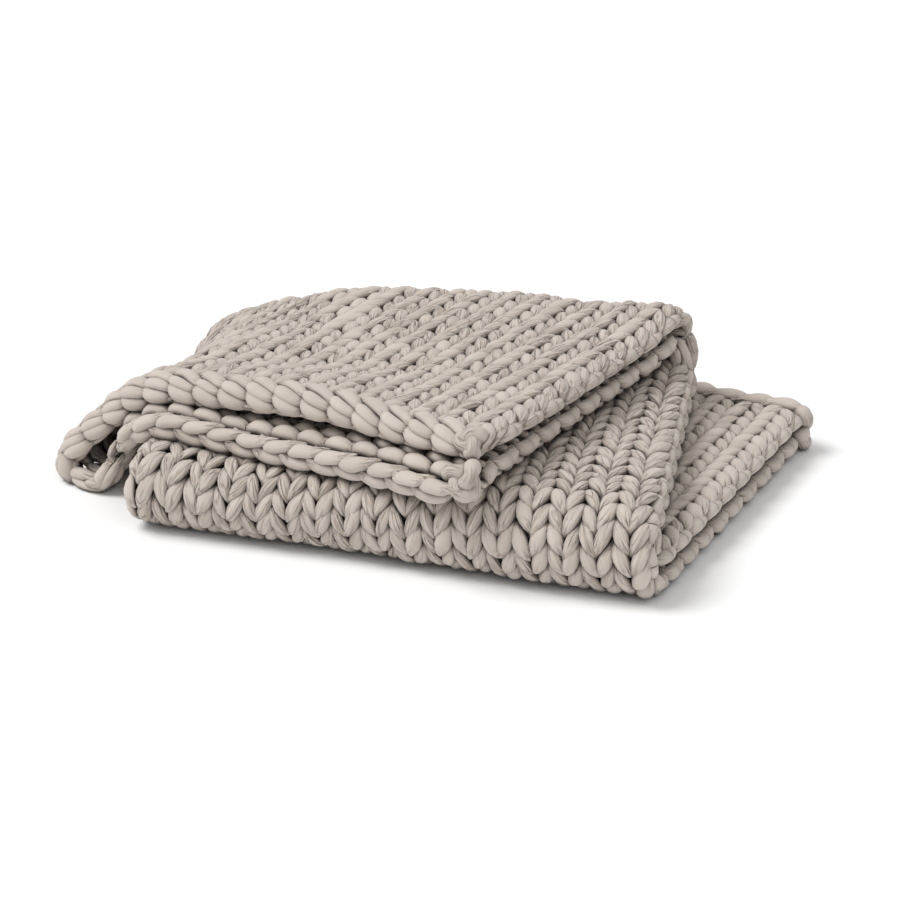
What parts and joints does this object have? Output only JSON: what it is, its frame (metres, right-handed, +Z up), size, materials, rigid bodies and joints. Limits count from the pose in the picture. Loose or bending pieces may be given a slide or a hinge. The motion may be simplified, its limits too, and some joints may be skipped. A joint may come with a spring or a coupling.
{
  "type": "weighted blanket",
  "caption": "Chunky hand-knitted weighted blanket of fat tube yarn, doubled lengthwise and laid in a loose back-and-forth fold, its left ends hanging over the stack to the floor.",
  "frame": {"origin": "centre of the box of the folded blanket, on the surface that it lies on", "axes": "+X along the front fold to the right, where the side edges lie; +Y from the front fold to the back fold; +Z up"},
  "size_m": [0.79, 0.5482, 0.1756],
  "materials": {
    "knit_yarn": "matte cotton jersey"
  },
  "bodies": {
    "root": {"blanket": "knit_yarn"}
  },
  "joints": []
}
